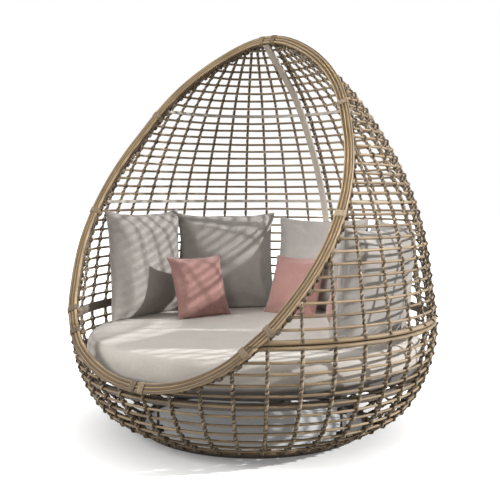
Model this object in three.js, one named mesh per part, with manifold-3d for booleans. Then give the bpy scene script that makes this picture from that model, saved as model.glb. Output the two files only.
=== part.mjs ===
// Outdoor daybed with canopy: an egg-shaped woven shell in two sections on an aluminium frame,
// with a bundled pole rim round its opening, a slatted seat, a round cushion and loose pillows.
// Millimetres, +Z up. The opening faces -Y, and the floor is at height 0.
import * as THREE from 'three';
import { mergeVertices } from 'three/addons/utils/BufferGeometryUtils.js';
import Module from 'manifold-3d';

const wasm = await Module();
wasm.setup();

// Fits
const seatGap = 0.3;                 // between pieces that touch
const tieBite = 2.2;                 // how far a tied strand presses into its rod
const strandSlack = 4.4;             // how far an untied strand stands off its rods

// Shell outline, as [radius share, height share] from the floor to the tip that it runs towards
const shellRadius = 925;
const shellHeight = 2031;
const outlineShares = [
  [0.590, 0], [0.735, 0.034], [0.857, 0.076], [0.957, 0.160], [1, 0.265], [0.974, 0.370],
  [0.929, 0.496], [0.835, 0.622], [0.684, 0.748], [0.470, 0.874], [0.109, 1],
];

// Heights of the opening, the seam, the hoops, the lowest and highest rods of the base and the platform
const heightShares = {
  openingBottom: 0.17774, openingTop: 0.98178, seam: 0.28557, lowerHoop: 0.57016, upperHoop: 0.81192,
  tight: 0.09847, lowRod: 0.01182, highRod: 0.2516, platform: 0.1615,
};
const openingBottomHeight = shellHeight * heightShares.openingBottom;
const openingTopHeight = shellHeight * heightShares.openingTop;
const seamHeight = shellHeight * heightShares.seam;
const lowerHoopHeight = shellHeight * heightShares.lowerHoop;
const upperHoopHeight = shellHeight * heightShares.upperHoop;
const platformHeight = shellHeight * heightShares.platform;

// The rim stands in front of the opening, most of all near the seam. As [share of the opening's rise,
// how far it stands forward and how far inside the outline, both as shares of the shell's radius]
const rimShares = [
  [0, 0.02703, 0.00432], [0.07, 0.04, 0.00649], [0.13, 0.04108, 0.02162], [0.19, 0.03243, 0.00865],
  [0.27, 0.0227, 0.00649], [0.49, 0.01514, 0.01081], [0.71, 0.01297, 0.01189], [0.86, 0.01946, 0],
  [0.94, 0.02054, -0.02703], [1, 0.02378, -0.02703],
];

// Weave
const strandCount = 40;
const rodDiameter = 12;
const strandDiameter = 11;
const tightHeight = shellHeight * heightShares.tight;   // the shell turns under below it
const baseRodCount = 12;
const lowerRodCount = 10;
const middleRodCount = 11;
const topRodCount = 9;
const baseLowRodHeight = shellHeight * heightShares.lowRod;
const baseHighRodHeight = shellHeight * heightShares.highRod;
const baseRodPower = 1.11;            // above 1 the base's rods lie closer together towards the floor
const baseTies = { tieRod: 2, skip: 2 };     // tieRod is the place of the rod that every strand is tied to
const canopyTies = { tieRod: 1, skip: 3 };
const weaveEndGap = 4;               // between a rod's end and the rim's frame tube
const triangleShare = 0.62;          // corner radius of a three-sided rod, as a share of its diameter

// Seam rings, between the two sections
const seamRingDiameter = 20;
const seamRingGap = 4;
const baseRingInset = 3.3;           // from the shell's outline to each ring's middle
const canopyRingInset = 3.4;
const baseRingReach = 6;             // of its end past the back of the rim's frame tube
const canopyRingReach = 6;
const ringSides = 6;

// Rim: a bundle of poles on a frame tube
const poleDiameter = 15;
const rimTubeDiameter = 17;
const polePitch = 15.8;              // between neighbouring poles
const rowPitch = 14.6;               // between the front poles and the pole behind them
const backPoleOut = 11;
const rimTubeIn = 9;
const rimTubeBack = 19;
const poleSides = 5;
const poleStep = 120;                // along the rim
const rimJoint = 14;                 // between the rim's upper and lower poles
const wrapLength = 34;
const wrapThickness = 3;
const wrapSlack = 0.4;
const bottomWrapSpread = 24;         // from the rim's lowest point to the wraps beside it
const topWrapSpread = 36;            // from its highest point to the wraps beside that
const baseWrapDrop = 34;             // from the seam down to the wrap below it
const canopyWrapRise = 100;          // from the seam up to the wrap above it
const lowerHoopWrapDrop = 54;        // from a hoop down to the wrap below it
const upperHoopWrapDrop = 36;

// Hoops and spine
const hoopHeight = 16;
const hoopThickness = 14;
const lowerHoopReach = 6.5;          // of its end past the back of the rim's frame tube
const upperHoopReach = 2.9;
const spineWidth = 36;
const spineThickness = 11;
const spineStep = 90;
const spineSlack = 1.1;              // between the spine and the hoops in front of it
const spineHeadGap = 16.5;             // below the top of the opening

// Seat frame
const floorRingDiameter = 24;
const floorRingInset = 3.6;          // from the lowest rod's middle to the ring's outside
const platformRod = 7;               // place of the rod that the platform ring carries
const platformTube = 30;
const slatWidth = 60;
const slatThickness = 18;
const slatCount = 7;
const slatPitch = shellRadius * 0.21622;
const legDiameter = 14;
const legSides = 8;
const legCircleRadius = shellRadius * 0.55351;
const footDiameter = 62;
const footHeight = 26;
const footTopShare = 0.42;           // radius of a foot's top, as a share of its diameter
const footSides = 12;
const legRows = [-2, 0, 2];          // rows of legs, counted in slats from the middle one

// Seat cushion
const cushionRadius = shellRadius * 0.92757;
const cushionThickness = 180;
const cushionCrown = 9;
const cushionEdgeDepth = 74;
const cushionSideSteps = 6;
const cushionSegments = 40;
const cushionSidePower = 0.6;        // below 1 the side is squarer than a half circle
const cushionTopSteps = 4;

// Pillows: angles are from the front, turning towards +X, and circles are the radii of their middles,
// as shares of the shell's. Each turns a little from facing the axis, and leans back.
const degree = Math.PI / 180;
const backPillowSize = shellRadius * 0.62054;
const backPillowThickness = 170;
const backPillows = [
  { angle: 270.5 * degree, circleShare: 0.76324, turned: -1 * degree, lean: 3 * degree },
  { angle: 226 * degree, circleShare: 0.74811, turned: -1 * degree, lean: 8 * degree },
  { angle: 179 * degree, circleShare: 0.75892, turned: 1 * degree, lean: 11 * degree },
  { angle: 129 * degree, circleShare: 0.77622, turned: 0, lean: 4 * degree },
  { angle: 83 * degree, circleShare: 0.76973, turned: 0, lean: 8 * degree },
];
const scatterPillowSize = shellRadius * 0.38703;
const scatterPillowThickness = 120;
const scatterPillows = [
  { angle: 256 * degree, circleShare: 0.48216, turned: -6 * degree, lean: 19 * degree },
  { angle: 183 * degree, circleShare: 0.53405, turned: -5 * degree, lean: 24 * degree },
  { angle: 121 * degree, circleShare: 0.50811, turned: -2 * degree, lean: 21 * degree },
];
const pillowPullShare = 0.07;
const pillowPlumpShare = 0.5;
const pillowCells = 8;

// Looks, as [colour, roughness, metalness]
const rattan = ['#a58a63', 0.7, 0];
const rimPole = ['#b59669', 0.6, 0];
const cord = ['#8d7f6c', 0.8, 0];
const aluminium = ['#a79e8e', 0.5, 0.5];
const seatFabric = ['#cdc8bf', 0.95, 0];
const greyFabric = ['#aba6a2', 0.95, 0];
const pinkFabric = ['#c08a84', 0.95, 0];
const footPlastic = ['#3b3a38', 0.8, 0];

const turn = Math.PI * 2;
const eighth = turn / 8;
const strandStep = turn / strandCount;
const ringStep = 2 * strandStep;      // rods and rings run straight between every second strand
const shortestSpanShare = 0.25;       // of that step, at an end of an arc
const bisectSteps = 34;
const rimHalfPoints = 22;             // of the rim's middle line, on each side

// The shell's outline as a curve whose X is the radius and whose Y is the height
const outline = new THREE.SplineCurve(
  outlineShares.map(([radius, height]) => new THREE.Vector2(radius * shellRadius, height * shellHeight)),
);

// Finds where a rising function of a share between low and high reaches a value
function shareWhere(rising, value, low = 0, high = 1) {
  let below = low;
  let above = high;
  for (let step = 0; step < bisectSteps; step += 1) {
    const middle = (below + above) / 2;
    if (rising(middle) < value) below = middle;
    else above = middle;
  }
  return (below + above) / 2;
}

function outlineShareAt(height) {
  return shareWhere((share) => outline.getPointAt(share).y, height);
}

function radiusAt(height) {
  return outline.getPointAt(outlineShareAt(height)).x;
}

// The shell's outward direction at a height, as a radius and a height
function slopeAt(height) {
  const along = outline.getTangentAt(outlineShareAt(height));
  return new THREE.Vector2(along.y, -along.x);
}

// Heights that divide the outline between two heights evenly, with both ends
function evenHeights(low, high, gaps) {
  const start = outlineShareAt(low);
  const end = outlineShareAt(high);
  return Array.from({ length: gaps + 1 }, (_, index) => (
    outline.getPointAt(start + ((end - start) * index) / gaps).y
  ));
}

// A level direction away from the axis: angle 0 is the front, and it turns towards +X
function outward(angle) {
  return new THREE.Vector3(Math.sin(angle), -Math.cos(angle), 0);
}

function onCircle(angle, radius, height) {
  return outward(angle).multiplyScalar(radius).setZ(height);
}

// The opening cuts the outline at its lowest point in front and at its highest point behind
const openingBottomY = -radiusAt(openingBottomHeight);
const openingTopY = radiusAt(openingTopHeight);
const openingDepth = openingTopY - openingBottomY;
const openingRise = openingTopHeight - openingBottomHeight;
const openingFacing = new THREE.Vector3(0, -openingRise, openingDepth).normalize();
const rimBack = rimTubeBack + rimTubeDiameter / 2;   // from the front poles' middles to the tube's back

function openingY(height) {
  const share = (height - openingBottomHeight) / openingRise;
  return THREE.MathUtils.lerp(openingBottomY, openingTopY, share);
}

// How far the rim's front poles stand before the opening at a height, and inside the shell's outline
function rimOffsets(height) {
  const share = THREE.MathUtils.clamp((height - openingBottomHeight) / openingRise, 0, 1);
  const next = Math.max(rimShares.findIndex(([place]) => place >= share), 1);
  const [low, high] = [rimShares[next - 1], rimShares[next]];
  const part = (share - low[0]) / (high[0] - low[0]);
  return {
    forward: THREE.MathUtils.lerp(low[1], high[1], part) * shellRadius,
    inset: THREE.MathUtils.lerp(low[2], high[2], part) * shellRadius,
  };
}

// How far a point lies behind the rim's front poles
function behindRim(point) {
  return (openingY(point.z) - point.y) * openingFacing.y + rimOffsets(point.z).forward;
}

// The rim's middle line, from the bottom up the +X side, over the top and down the other side
function rimPoint(share) {
  const height = openingBottomHeight + (openingRise * (1 - Math.cos(Math.PI * share))) / 2;
  const { forward, inset } = rimOffsets(height);
  const radius = radiusAt(height) - inset * Math.sin(Math.PI * share);
  const level = openingY(height);
  const side = Math.sqrt(Math.max(radius * radius - level * level, 0));
  return new THREE.Vector3(side, level, height).addScaledVector(openingFacing, forward);
}

function makeRimCurve() {
  const points = [];
  for (let index = 0; index < rimHalfPoints; index += 1) points.push(rimPoint(index / rimHalfPoints));
  for (let index = rimHalfPoints; index > 0; index -= 1) {
    const point = rimPoint(index / rimHalfPoints);
    points.push(point.setX(-point.x));
  }
  return new THREE.CatmullRomCurve3(points, true);
}

const rimCurve = makeRimCurve();
const rimLength = rimCurve.getLength();

function rimShareAt(height) {
  return shareWhere((share) => rimCurve.getPointAt(share).z, height, 0, 0.5);
}

// A place on the rim and its directions: along it, outwards in the opening and out of the opening
function rimFrame(share) {
  const wrapped = THREE.MathUtils.euclideanModulo(share, 1);
  const centre = rimCurve.getPointAt(wrapped);
  const along = rimCurve.getTangentAt(wrapped);
  const out = new THREE.Vector3().crossVectors(along, openingFacing).normalize();
  const front = new THREE.Vector3().crossVectors(out, along).normalize();
  return { centre, along, out, front };
}

// Joins equal rings of points into one closed skin; a loop of rings has no ends
function skin(rings, isLoop = false) {
  const sides = rings[0].length;
  const indices = [];
  const spans = isLoop ? rings.length : rings.length - 1;
  for (let span = 0; span < spans; span += 1) {
    const here = span * sides;
    const next = ((span + 1) % rings.length) * sides;
    for (let side = 0; side < sides; side += 1) {
      const beside = (side + 1) % sides;
      indices.push(here + side, here + beside, next + beside);
      indices.push(here + side, next + beside, next + side);
    }
  }
  if (!isLoop) {
    const last = spans * sides;
    for (let side = 1; side < sides - 1; side += 1) {
      indices.push(0, side + 1, side);
      indices.push(last, last + side, last + side + 1);
    }
  }
  const geometry = new THREE.BufferGeometry();
  const positions = rings.flat().flatMap((point) => point.toArray());
  geometry.setAttribute('position', new THREE.Float32BufferAttribute(positions, 3));
  geometry.setIndex(indices);
  return faceOutward(geometry);
}

// Turns every face round if the skin is inside out
function faceOutward(geometry) {
  const position = geometry.getAttribute('position');
  const index = geometry.getIndex().array;
  const corners = [new THREE.Vector3(), new THREE.Vector3(), new THREE.Vector3()];
  let volume = 0;
  for (let face = 0; face < index.length; face += 3) {
    corners.forEach((corner, place) => corner.fromBufferAttribute(position, index[face + place]));
    volume += corners[0].dot(corners[1].clone().cross(corners[2]));
  }
  if (volume < 0) geometry.setIndex(Array.from(index).reverse());
  return geometry;
}

// A round section: points about a centre, with the first one off the axis named out by phase
function roundSection(centre, out, across, radius, sides, phase = 0) {
  return Array.from({ length: sides }, (_, side) => {
    const angle = phase + (turn * side) / sides;
    return centre.clone()
      .addScaledVector(out, radius * Math.cos(angle))
      .addScaledVector(across, radius * Math.sin(angle));
  });
}

function boxSection(centre, out, across, depth, width) {
  return [[1, 1], [-1, 1], [-1, -1], [1, -1]].map(([outSign, acrossSign]) => centre.clone()
    .addScaledVector(out, (outSign * depth) / 2)
    .addScaledVector(across, (acrossSign * width) / 2));
}

const upward = new THREE.Vector3(0, 0, 1);

// A ring or an arc round the axis, whose section is made from a place on it
function hoop(angles, isLoop, radius, height, section) {
  const rings = angles.map((angle) => section(onCircle(angle, radius, height), outward(angle)));
  return skin(rings, isLoop);
}

// Angles at which rings and rods bend
const ringAngles = Array.from({ length: strandCount / 2 }, (_, index) => index * ringStep);

// A ring inside the shell at a height. Where it meets the opening, its section stays behind it by setback.
function arcBody(height, inset, section, setback) {
  const radius = radiusAt(height) - inset;
  const nearest = (angle) => (
    Math.min(...section(onCircle(angle, radius, height), outward(angle)).map(behindRim))
  );
  if (nearest(0) > setback) return hoop(ringAngles, true, radius, height, section);
  const end = Math.PI * shareWhere((share) => nearest(Math.PI * share), setback);
  const first = rodEnd(height) + shortestSpanShare * ringStep;
  const bends = ringAngles.filter((angle) => angle > first && angle < turn - first);
  return hoop([end, ...bends, turn - end], false, radius, height, section);
}

// The angle at which a rod's middle line ends beside the opening
function rodEnd(height) {
  return Math.PI * shareWhere(
    (share) => behindRim(onCircle(Math.PI * share, radiusAt(height), height)),
    rimBack + weaveEndGap,
  );
}

// Weave: rods run level round the shell, straight between even strands, and strands cross outside them
const rodCorner = rodDiameter * triangleShare;
const strandCorner = strandDiameter * triangleShare;
const strandSeat = (rodCorner + strandCorner) / 2;   // from a rod's middle to a strand that touches it

function leaning(out, slope) {
  return out.clone().multiplyScalar(slope.x).setZ(slope.y);
}

// From the shell's outline to a ring that touches the rod at a height from inside
function rodInsetAt(height) {
  return rodCorner * slopeAt(height).x + seatGap;
}

function rodBody(height) {
  const slope = slopeAt(height);
  const section = (centre, out) => {
    const normal = leaning(out, slope);
    const along = leaning(out, new THREE.Vector2(-slope.y, slope.x));
    return roundSection(centre, normal, along, rodCorner, 3, Math.PI / 3);
  };
  return arcBody(height, 0, section, rimBack + weaveEndGap);
}

function strandCentre(index, height, standOff) {
  const angle = index * strandStep;
  const flatShare = index % 2 ? Math.cos(strandStep) : 1;
  return onCircle(angle, radiusAt(height) * flatShare, height)
    .addScaledVector(leaning(outward(angle), slopeAt(height)), strandSeat + standOff);
}

// Where a strand ends: at a height, or below it where the strand comes to the rim
function strandTop(index, low, high) {
  const beyond = (height) => {
    const centre = strandCentre(index, height, strandSlack);
    return rimBack + weaveEndGap + strandCorner - behindRim(centre);
  };
  return beyond(high) < 0 ? high : shareWhere(beyond, 0, low, high);
}

function strandBody(index, heights, isTied) {
  const out = outward(index * strandStep);
  const across = new THREE.Vector3().crossVectors(upward, out);
  const rings = heights.map((height, place) => {
    const centre = strandCentre(index, height, isTied(place) ? -tieBite : strandSlack);
    return roundSection(centre, leaning(out, slopeAt(height)), across, strandCorner, 3);
  });
  return skin(rings);
}

function toSolid(geometry) {
  const bare = mergeVertices(geometry.clone());
  return new wasm.Manifold(new wasm.Mesh({
    numProp: 3,
    vertProperties: Float32Array.from(bare.getAttribute('position').array),
    triVerts: Uint32Array.from(bare.getIndex().array),
  }));
}

function toGeometry(solid) {
  const mesh = solid.getMesh();
  const geometry = new THREE.BufferGeometry();
  geometry.setAttribute('position', new THREE.BufferAttribute(Float32Array.from(mesh.vertProperties), 3));
  geometry.setIndex(Array.from(mesh.triVerts));
  return geometry;
}

// One section of weave. Every strand is tied to the tie rod, and the rear strand to every rod.
// A strand bends at every rod below tightHeight, and above it at one rod in every skip.
function weave(rodHeights, low, high, { tieRod, skip }) {
  const solids = rodHeights.map((height) => toSolid(rodBody(height)));
  const isBend = (height, place) => height < tightHeight || place % skip === tieRod % skip;
  for (let index = 0; index < strandCount; index += 1) {
    const isRear = index === strandCount / 2;
    const top = strandTop(index, low, high);
    const crossings = rodHeights.filter((height) => height > low && height < top - rodDiameter / 2);
    const kept = crossings.filter((height) => isRear || isBend(height, rodHeights.indexOf(height)));
    const heights = [low, ...kept, top];
    const tiedHeights = isRear ? rodHeights : [rodHeights[tieRod]];
    if (kept.includes(rodHeights[tieRod])) {
      solids.push(toSolid(strandBody(index, heights, (place) => tiedHeights.includes(heights[place]))));
    }
  }
  return toGeometry(solids.reduce((whole, solid) => whole.add(solid)));
}

// Rim poles and tube: each follows the rim at its own place in the bundle
const bundle = [
  { name: 'pole_inner', out: -polePitch, front: 0, diameter: poleDiameter, look: rimPole },
  { name: 'pole_middle', out: 0, front: 0, diameter: poleDiameter, look: rimPole },
  { name: 'pole_outer', out: polePitch, front: 0, diameter: poleDiameter, look: rimPole },
  { name: 'pole_back', out: backPoleOut, front: -rowPitch, diameter: poleDiameter, look: rimPole },
  { name: 'frame_tube', out: -rimTubeIn, front: -rimTubeBack, diameter: rimTubeDiameter, look: aluminium },
];

// Places of the cord wraps, as shares of the rim, on the +X side of the lower and the upper poles
const seamShare = rimShareAt(seamHeight);
const lowerWraps = {
  bottom: bottomWrapSpread / rimLength,
  base_seam: seamShare - baseWrapDrop / rimLength,
};
const upperWraps = {
  canopy_seam: seamShare + canopyWrapRise / rimLength,
  lower_hoop: rimShareAt(lowerHoopHeight) - lowerHoopWrapDrop / rimLength,
  upper_hoop: rimShareAt(upperHoopHeight) - upperHoopWrapDrop / rimLength,
  top: 0.5 - topWrapSpread / rimLength,
};
const halfWrap = wrapLength / 2 / rimLength;

// Shares at which a pole bends: it runs straight through every wrap, and in even steps between them
function rimStations(start, end, wrapShares) {
  const stops = [start, ...wrapShares.flatMap((share) => [share - halfWrap, share + halfWrap]), end];
  const stations = [start];
  for (let index = 1; index < stops.length; index += 1) {
    const span = stops[index] - stops[index - 1];
    const steps = Math.ceil((span * rimLength) / poleStep);
    for (let step = 1; step <= steps; step += 1) stations.push(stops[index - 1] + (span * step) / steps);
  }
  return stations;
}

// A place in the bundle, with the rim's directions there
function inBundle(station, place) {
  const { centre, out, front } = rimFrame(station);
  centre.addScaledVector(out, place.out).addScaledVector(front, place.front);
  return { centre, out, front };
}

function alongRim(stations, place) {
  return skin(stations.map((station) => {
    const { centre, out, front } = inBundle(station, place);
    return roundSection(centre, out, front, place.diameter / 2, poleSides, Math.PI / 2);
  }));
}

// A cord wrap: a sleeve round the whole bundle, flat on each side and rounded at the outer poles
const wrapCorners = [
  { name: 'pole_outer', turnShares: [-0.0625, 0.0625, 0.1875] },
  { name: 'pole_inner', turnShares: [0.3125, 0.4375, 0.5625] },
  { name: 'frame_tube', turnShares: [0.5625, 0.6875, 0.8125] },
  { name: 'pole_back', turnShares: [0.8125, 0.9375] },
].map(({ name, turnShares }) => ({ pole: bundle.find((pole) => pole.name === name), turnShares }));

function wrapBody(middle) {
  const ring = (station, grow) => {
    const { centre, out, front } = rimFrame(station);
    return wrapCorners.flatMap(({ pole, turnShares }) => {
      const reach = (pole.diameter / 2 + grow) / Math.cos(eighth / 2);
      return turnShares.map((share) => centre.clone()
        .addScaledVector(out, pole.out + reach * Math.cos(turn * share))
        .addScaledVector(front, pole.front + reach * Math.sin(turn * share)));
    });
  };
  const outer = wrapSlack + wrapThickness;
  const [start, end] = [middle - halfWrap, middle + halfWrap];
  return skin([ring(start, outer), ring(end, outer), ring(end, wrapSlack), ring(start, wrapSlack)], true);
}

// Flat bar that stands inside the shell at the rear and follows its outline
const hoopBend = (spineWidth / 2) * Math.tan(strandStep);   // of a hoop, inwards, beside its rear corner
const spineInset = rodCorner + seatGap + hoopThickness + hoopBend + spineSlack + spineThickness / 2;

function spineBody(low, high) {
  const heights = evenHeights(low, high, Math.ceil((high - low) / spineStep));
  const across = new THREE.Vector3(1, 0, 0);
  return skin(heights.map((height, place) => {
    const out = leaning(outward(Math.PI), slopeAt(height));
    const centre = onCircle(Math.PI, radiusAt(height), height).addScaledVector(out, -spineInset);
    const section = boxSection(centre, out, across, spineThickness, spineWidth);
    const isEnd = place === 0 || place === heights.length - 1;
    return isEnd ? section.map((corner) => cutLevel(corner, out, height)) : section;
  }));
}

// Moves a corner along a bar that leans at the rear, until it is at a height
function cutLevel(corner, out, height) {
  const along = new THREE.Vector3(0, -out.z, out.y);
  return corner.addScaledVector(along, (height - corner.z) / along.z);
}

const parts = [];

function add(name, geometry, [color, roughness, metalness]) {
  const mesh = new THREE.Mesh(geometry, new THREE.MeshStandardMaterial({ color, roughness, metalness }));
  mesh.name = name;
  parts.push(mesh);
  return mesh;
}

const ringRise = (seamRingDiameter + seamRingGap) / 2;
const baseHeights = Array.from({ length: baseRodCount }, (_, index) => (
  THREE.MathUtils.lerp(baseLowRodHeight, baseHighRodHeight, (index / (baseRodCount - 1)) ** baseRodPower)
));

function addWeaves() {
  const lower = evenHeights(seamHeight + ringRise, lowerHoopHeight, lowerRodCount + 1).slice(1);
  const middle = evenHeights(lowerHoopHeight, upperHoopHeight, middleRodCount + 1).slice(1);
  const top = evenHeights(upperHoopHeight, openingTopHeight, topRodCount + 1).slice(1, -1);
  const baseTop = seamHeight - seamRingGap / 2;
  const canopyBottom = seamHeight + seamRingGap / 2;
  const canopyHeights = [...lower, ...middle, ...top];
  add('base_weave', weave(baseHeights, baseLowRodHeight, baseTop, baseTies), rattan);
  add('canopy_weave', weave(canopyHeights, canopyBottom, openingTopHeight, canopyTies), rattan);
}

function addSeamRings() {
  const section = (centre, out) => (
    roundSection(centre, out, upward, seamRingDiameter / 2, ringSides, Math.PI / ringSides)
  );
  const rings = [
    ['base_top_ring', -ringRise, baseRingInset, rimBack - baseRingReach],
    ['canopy_bottom_ring', ringRise, canopyRingInset, rimBack - canopyRingReach],
  ];
  for (const [name, rise, inset, setback] of rings) {
    add(name, arcBody(seamHeight + rise, inset, section, setback), rattan);
  }
}

function addRim() {
  const halfJoint = rimJoint / 2 / rimLength;
  const upper = Object.values(upperWraps);
  const lower = Object.values(lowerWraps);
  const upperBoth = [...upper, ...upper.map((share) => 1 - share).reverse()];
  const lowerBoth = [...lower.map((share) => -share).reverse(), ...lower];
  for (const place of bundle) {
    const joint = shareWhere((share) => inBundle(share, place).centre.z, seamHeight, 0, 0.5);
    const upperEnd = joint + halfJoint;
    const lowerEnd = joint - halfJoint;
    const upperStations = rimStations(upperEnd, 1 - upperEnd, upperBoth);
    const lowerStations = rimStations(-lowerEnd, lowerEnd, lowerBoth);
    add(`rim_upper_${place.name}`, alongRim(upperStations, place), place.look);
    add(`rim_lower_${place.name}`, alongRim(lowerStations, place), place.look);
  }
  for (const [place, share] of Object.entries({ ...lowerWraps, ...upperWraps })) {
    add(`wrap_${place}_right`, wrapBody(share), cord);
    add(`wrap_${place}_left`, wrapBody(-share), cord);
  }
}

function addFrame() {
  const hoopSection = (centre, out) => boxSection(centre, out, upward, hoopThickness, hoopHeight);
  const hoops = [
    ['lower_hoop', lowerHoopHeight, lowerHoopReach],
    ['upper_hoop', upperHoopHeight, upperHoopReach],
  ];
  for (const [name, height, reach] of hoops) {
    const inset = rodInsetAt(height) + hoopThickness / 2;
    add(name, arcBody(height, inset, hoopSection, rimBack - reach), aluminium);
  }
  const spineFoot = platformHeight + seatGap;
  const spineHead = openingTopHeight - spineHeadGap;
  add('spine_lower', spineBody(spineFoot, seamHeight - seatGap / 2), aluminium);
  add('spine_upper', spineBody(seamHeight + seatGap / 2, spineHead), aluminium);
}

// How far a ring that runs straight between its bends reaches along X, at a place along Y
function ringReach(radius, y) {
  const angle = ringStep * Math.floor(Math.asin(y / radius) / ringStep);
  const [low, high] = [angle, angle + ringStep].map((bend) => (
    new THREE.Vector2(radius * Math.cos(bend), radius * Math.sin(bend))
  ));
  return THREE.MathUtils.lerp(low.x, high.x, (y - low.y) / (high.y - low.y));
}

function addSeatFrame() {
  const floorRadius = radiusAt(baseLowRodHeight) - floorRingInset - floorRingDiameter / 2;
  const floorApothem = floorRingDiameter / 2;
  const floorCorner = floorApothem / Math.cos(Math.PI / ringSides);
  add('floor_ring', hoop(ringAngles, true, floorRadius, floorApothem, (centre, out) => (
    roundSection(centre, out, upward, floorCorner, ringSides)
  )), aluminium);
  const platformMiddle = platformHeight - platformTube / 2;
  const rodHeight = baseHeights[platformRod];
  const platformRadius = radiusAt(rodHeight) - rodInsetAt(rodHeight) - platformTube / 2;
  add('platform_ring', hoop(ringAngles, true, platformRadius, platformMiddle, (centre, out) => (
    boxSection(centre, out, upward, platformTube, platformTube)
  )), aluminium);
  for (let index = 0; index < slatCount; index += 1) {
    const y = (index - (slatCount - 1) / 2) * slatPitch;
    const reach = ringReach(platformRadius - platformTube / 2, Math.abs(y) + slatWidth / 2);
    const length = 2 * (reach - seatGap / Math.cos(Math.asin(y / platformRadius)));
    const bar = new THREE.BoxGeometry(length, slatWidth, slatThickness);
    const slat = add(`slat_${index + 1}`, bar, aluminium);
    slat.position.set(0, y, platformHeight - slatThickness / 2);
  }
  const slatUnderside = platformHeight - slatThickness;
  const legPlaces = legRows.flatMap((row) => [[-1, row], [1, row]]);
  const length = slatUnderside - seatGap - footHeight - seatGap;
  legPlaces.forEach(([side, row], index) => {
    const y = row * slatPitch;
    const x = side * Math.sqrt(legCircleRadius * legCircleRadius - y * y);
    const post = new THREE.CylinderGeometry(legDiameter / 2, legDiameter / 2, length, legSides);
    post.rotateX(Math.PI / 2);
    const leg = add(`leg_${index + 1}`, post, aluminium);
    leg.position.set(x, y, slatUnderside - seatGap - length / 2);
    const footTop = footDiameter * footTopShare;
    const foot = new THREE.CylinderGeometry(footTop, footDiameter / 2, footHeight, footSides);
    foot.rotateX(Math.PI / 2);
    add(`foot_${index + 1}`, foot, footPlastic).position.set(x, y, footHeight / 2);
  });
}

// Seat cushion: a round pad with puffed sides and a crowned top
const cushionBottom = platformHeight + seatGap;
const cushionTop = cushionBottom + cushionThickness;
const cushionTopRadius = cushionRadius - cushionEdgeDepth;

function cushionProfile() {
  const points = [[0, cushionBottom]];
  const middle = (cushionBottom + cushionTop) / 2;
  for (let step = 0; step <= cushionSideSteps; step += 1) {
    const angle = Math.PI * (step / cushionSideSteps - 0.5);
    const reach = cushionTopRadius + cushionEdgeDepth * Math.cos(angle) ** cushionSidePower;
    points.push([reach, middle + (cushionThickness / 2) * Math.sin(angle)]);
  }
  for (let step = cushionTopSteps - 1; step >= 0; step -= 1) {
    const radius = (cushionTopRadius * step) / cushionTopSteps;
    points.push([radius, cushionTopAt(radius)]);
  }
  return points.map(([radius, height]) => new THREE.Vector2(radius, height));
}

function cushionTopAt(radius) {
  return cushionTop + cushionCrown * (1 - (radius / cushionTopRadius) ** 2);
}

function addSeatCushion() {
  const body = new THREE.LatheGeometry(cushionProfile(), cushionSegments);
  body.deleteAttribute('uv');
  body.deleteAttribute('normal');
  add('seat_cushion', faceOutward(mergeVertices(body.rotateX(Math.PI / 2))), seatFabric);
}

// A stuffed square pillow: pointed corners, drawn-in sides, plump in the middle. It stands along X and Z.
function pillowBody(size, thickness) {
  const half = size / 2;
  const count = pillowCells + 1;
  const positions = [];
  const indices = [];
  const share = (index) => Math.sin((Math.PI / 2) * ((2 * index) / pillowCells - 1));
  const faces = [-1, 1].map((side) => {
    const start = positions.length / 3;
    for (let row = 0; row < count; row += 1) {
      for (let column = 0; column < count; column += 1) {
        const across = share(column);
        const up = share(row);
        const swell = ((1 - across * across) * (1 - up * up)) ** pillowPlumpShare;
        const pullAcross = 1 - pillowPullShare * (1 - up * up) * across * across;
        const pullUp = 1 - pillowPullShare * (1 - across * across) * up * up;
        positions.push(half * across * pullAcross, (side * thickness * swell) / 2, half * up * pullUp);
      }
    }
    return start;
  });
  for (const start of faces) {
    for (let row = 0; row < pillowCells; row += 1) {
      for (let column = 0; column < pillowCells; column += 1) {
        const corner = start + row * count + column;
        const quad = [corner, corner + 1, corner + count + 1, corner, corner + count + 1, corner + count];
        indices.push(...(start === faces[0] ? quad : quad.reverse()));
      }
    }
  }
  const geometry = new THREE.BufferGeometry();
  geometry.setAttribute('position', new THREE.Float32BufferAttribute(positions, 3));
  geometry.setIndex(indices);
  return faceOutward(mergeVertices(geometry));
}

// Stands a pillow on the seat cushion
function standPillow(name, body, look, place) {
  const pillow = add(name, body, look);
  pillow.rotation.set(-place.lean, 0, place.angle + place.turned - Math.PI, 'ZXY');
  pillow.position.copy(onCircle(place.angle, place.circleShare * shellRadius, 0));
  pillow.updateMatrix();
  const corner = new THREE.Vector3();
  const position = body.getAttribute('position');
  let drop = Infinity;
  for (let index = 0; index < position.count; index += 1) {
    corner.fromBufferAttribute(position, index).applyMatrix4(pillow.matrix);
    const radius = Math.hypot(corner.x, corner.y);
    if (radius < cushionTopRadius) drop = Math.min(drop, corner.z - cushionTopAt(radius));
  }
  pillow.position.z = seatGap - drop;
}

function addPillows() {
  backPillows.forEach((place, index) => {
    const body = pillowBody(backPillowSize, backPillowThickness);
    standPillow(`back_pillow_${index + 1}`, body, greyFabric, place);
  });
  scatterPillows.forEach((place, index) => {
    const body = pillowBody(scatterPillowSize, scatterPillowThickness);
    standPillow(`scatter_pillow_${index + 1}`, body, pinkFabric, place);
  });
}

addWeaves();
addSeamRings();
addRim();
addFrame();
addSeatFrame();
addSeatCushion();
addPillows();

// The origin is on the floor, under the middle of the whole daybed
const daybed = new THREE.Group();
daybed.add(...parts);
const extent = new THREE.Box3().setFromObject(daybed);
daybed.position.y = -(extent.min.y + extent.max.y) / 2;

export default daybed;
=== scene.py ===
import math

import bpy
import numpy as np
from mathutils import Matrix, Vector


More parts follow.
